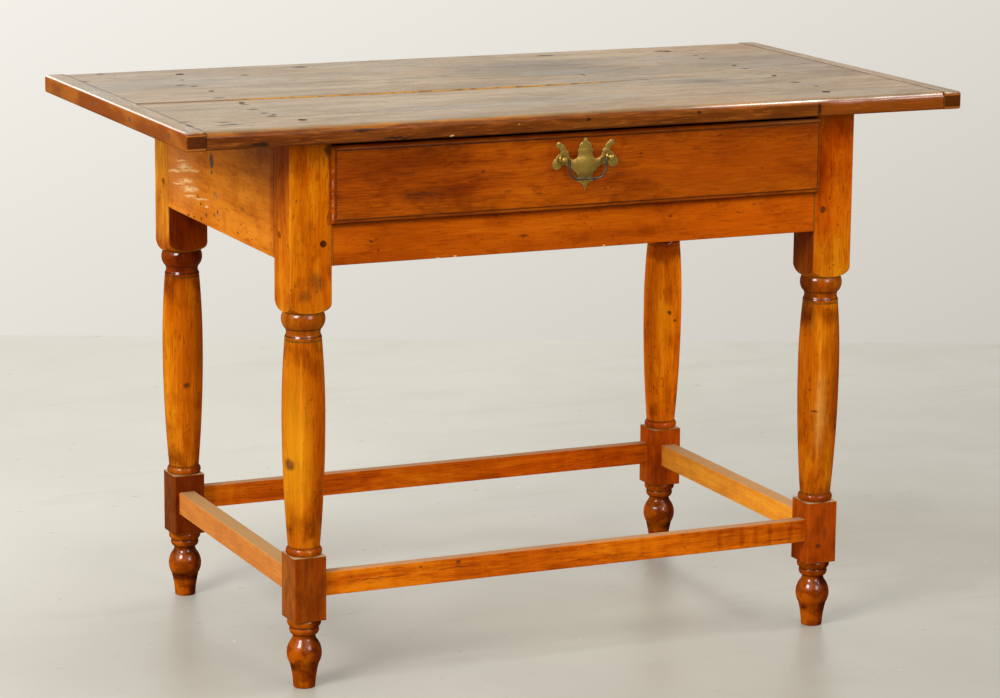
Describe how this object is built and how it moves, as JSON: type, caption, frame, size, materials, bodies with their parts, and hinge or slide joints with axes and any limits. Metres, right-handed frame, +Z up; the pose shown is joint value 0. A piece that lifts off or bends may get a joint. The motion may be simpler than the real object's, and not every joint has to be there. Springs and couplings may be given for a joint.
{
  "type": "tavern table",
  "caption": "Tavern table with a breadboard-ended top, turned legs on ball feet, low box stretchers and a lipped drawer with a bat-wing brass bail handle.",
  "frame": {"origin": "on the floor under the middle of the table", "axes": "+X to the right along the table's length, +Y to its back, +Z up; the drawer faces -Y"},
  "size_m": [1.02, 0.548, 0.686],
  "materials": {
    "top_wood": "worn satin",
    "frame_wood": "aged varnish",
    "inner_wood": "bare, darkened with age",
    "peg_wood": "aged varnish",
    "drawer_front_wood": "aged varnish",
    "handle_brass": "aged, rubbed on the edges",
    "bail_iron": "dark, worn smooth",
    "nut_iron": "dark, rough",
    "nail_iron": "dark, rough"
  },
  "bodies": {
    "frame": {"top_board_front": "top_wood", "top_board_back": "top_wood", "breadboard_end_left": "top_wood", "breadboard_end_right": "top_wood", "leg_front_left": "frame_wood", "leg_front_right": "frame_wood", "leg_back_left": "frame_wood", "leg_back_right": "frame_wood", "drawer_rail": "frame_wood", "end_apron_left": "frame_wood", "end_apron_right": "frame_wood", "back_apron": "frame_wood", "stretcher_front": "frame_wood", "stretcher_back": "frame_wood", "stretcher_left": "frame_wood", "stretcher_right": "frame_wood", "drawer_runner_left": "inner_wood", "drawer_runner_right": "inner_wood", "drawer_guide_left": "inner_wood", "drawer_guide_right": "inner_wood", "drawer_kicker_left": "inner_wood", "drawer_kicker_right": "inner_wood", "top_pegs": "peg_wood", "rail_pegs": "peg_wood", "end_apron_pegs": "peg_wood", "back_apron_pegs": "peg_wood", "top_nails": "nail_iron", "breadboard_nails": "nail_iron", "guide_nails": "nail_iron", "kicker_nails": "nail_iron"},
    "drawer": {"drawer_front": "drawer_front_wood", "drawer_side_left": "inner_wood", "drawer_side_right": "inner_wood", "drawer_back": "inner_wood", "drawer_bottom": "inner_wood", "drawer_bottom_nails": "nail_iron", "handle_plate": "handle_brass", "handle_post_left": "handle_brass", "handle_post_right": "handle_brass", "handle_nuts": "nut_iron"},
    "bail": {"bail": "bail_iron"}
  },
  "joints": [
    {"name": "drawer_slide", "type": "slide", "parent": "frame", "child": "drawer", "axis": [0, -1, 0], "range_m": [0, 0.32]},
    {"name": "bail_swing", "type": "hinge", "parent": "drawer", "child": "bail", "pos_m": [0, -0.2623, 0.628], "axis": [-1, 0, 0], "range_deg": [-13, 193]}
  ]
}
